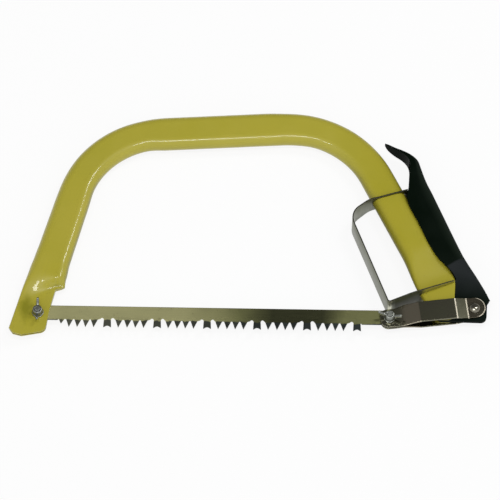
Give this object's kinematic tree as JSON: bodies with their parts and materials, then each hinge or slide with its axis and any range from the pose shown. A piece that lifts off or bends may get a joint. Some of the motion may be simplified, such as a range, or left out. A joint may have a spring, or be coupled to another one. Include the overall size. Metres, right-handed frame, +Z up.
{
  "type": "bow saw",
  "caption": "Bow saw with a bent oval-tube frame, raker-tooth blade on wing-nut bolts, sheet-metal hand guard, and an over-centre lever with links that tensions the blade.",
  "frame": {"origin": "centre of the bounding box's bottom, on the surface that the saw lies on", "axes": "+X along the blade from the front bolt to the handle, +Y from the blade to the bow, +Z up through the saw's thickness"},
  "size_m": [0.4106, 0.2192, 0.024],
  "materials": {
    "frame_paint": "gloss olive-yellow stove paint",
    "guard_plate": "bright plated sheet steel",
    "blade_steel": "rolled steel strip with dark hardened teeth",
    "lever_black": "satin black paint",
    "rivet_steel": "plated steel",
    "link_nickel": "dark nickel plate",
    "zinc": "bright zinc plate"
  },
  "bodies": {
    "frame": {"frame_tube": "frame_paint", "knuckle_guard": "guard_plate", "front_bolt": "zinc", "lever_pivot_rivet": "rivet_steel"},
    "lever": {"tension_lever": "lever_black"},
    "blade": {"saw_blade": "blade_steel"},
    "links": {"link_plate_near": "link_nickel", "link_plate_far": "link_nickel", "link_rivet": "rivet_steel", "rear_bolt": "zinc"},
    "front_washer": {"front_washer": "zinc"},
    "front_nut": {"front_wing_nut": "zinc"},
    "rear_washer": {"rear_washer": "zinc"},
    "rear_nut": {"rear_wing_nut": "zinc"}
  },
  "joints": [
    {"name": "lever_open", "type": "hinge", "parent": "frame", "child": "lever", "pos_m": [0.16408, -0.08358, 0.012], "axis": [0, 0, -1], "range_deg": [0, 70]},
    {"name": "blade_swing", "type": "hinge", "parent": "frame", "child": "blade", "pos_m": [-0.18092, -0.08878, 0.012], "axis": [0, 0, -1], "range_deg": [0, 10.3]},
    {"name": "links_swing", "type": "hinge", "parent": "blade", "child": "links", "pos_m": [0.11908, -0.08878, 0.012], "axis": [0, 0, 1], "range_deg": [0, 31]},
    {"name": "front_washer_lift", "type": "slide", "parent": "frame", "child": "front_washer", "axis": [0, 0, 1], "range_m": [0, 0.0024]},
    {"name": "front_nut_turn", "type": "hinge", "parent": "front_washer", "child": "front_nut", "pos_m": [-0.18092, -0.08878, 0.018], "axis": [0, 0, 1], "range_deg": [0, 1080]},
    {"name": "rear_washer_lift", "type": "slide", "parent": "links", "child": "rear_washer", "axis": [0, 0, 1], "range_m": [0, 0.0024]},
    {"name": "rear_nut_turn", "type": "hinge", "parent": "rear_washer", "child": "rear_nut", "pos_m": [0.11908, -0.08878, 0.018], "axis": [0, 0, 1], "range_deg": [0, 1080]}
  ],
  "couplings": [
    {"joint": "blade_swing", "follows": "lever_open", "ratio": 0.1459},
    {"joint": "links_swing", "follows": "lever_open", "ratio": 0.4403},
    {"joint": "front_nut_turn", "follows": "front_washer_lift", "rad_per_m": 7853.9},
    {"joint": "rear_nut_turn", "follows": "rear_washer_lift", "rad_per_m": 7853.9}
  ]
}
